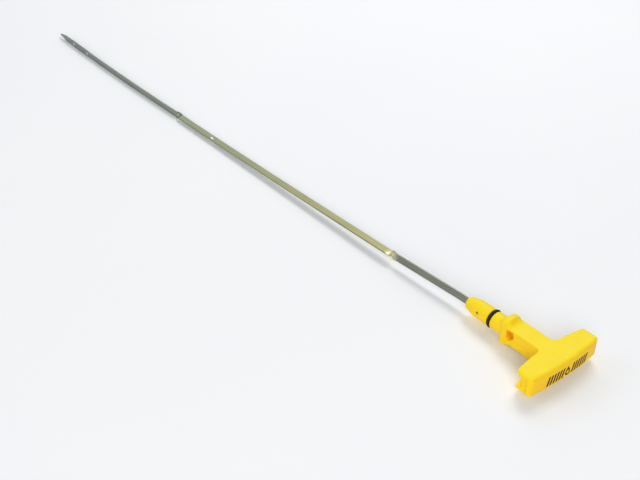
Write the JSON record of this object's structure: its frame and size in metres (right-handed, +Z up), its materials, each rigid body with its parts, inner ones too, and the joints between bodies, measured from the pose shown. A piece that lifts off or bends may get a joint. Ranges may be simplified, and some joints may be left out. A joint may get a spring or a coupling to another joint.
{
  "type": "engine oil dipstick",
  "caption": "Engine oil dipstick with a moulded T-shaped pull handle, a sealing plug with a rubber ring and a long twisted flat steel gauge strip with pressed level marks.",
  "frame": {"origin": "on the surface it lies on, under the middle of the overall length and of the pull bar's width", "axes": "+X from the strip's tip towards the pull bar, +Y across to the bar's end that lies farther away in the picture, +Z up"},
  "size_m": [0.577, 0.052, 0.0174],
  "materials": {
    "handle": "bright yellow moulded plastic, satin",
    "o_ring": "black rubber, slightly oily",
    "blade": "brushed spring steel with a faint oil tint",
    "retaining_pin": "plain steel"
  },
  "bodies": {
    "root": {"handle": "handle", "o_ring": "o_ring", "blade": "blade", "retaining_pin": "retaining_pin"}
  },
  "joints": []
}
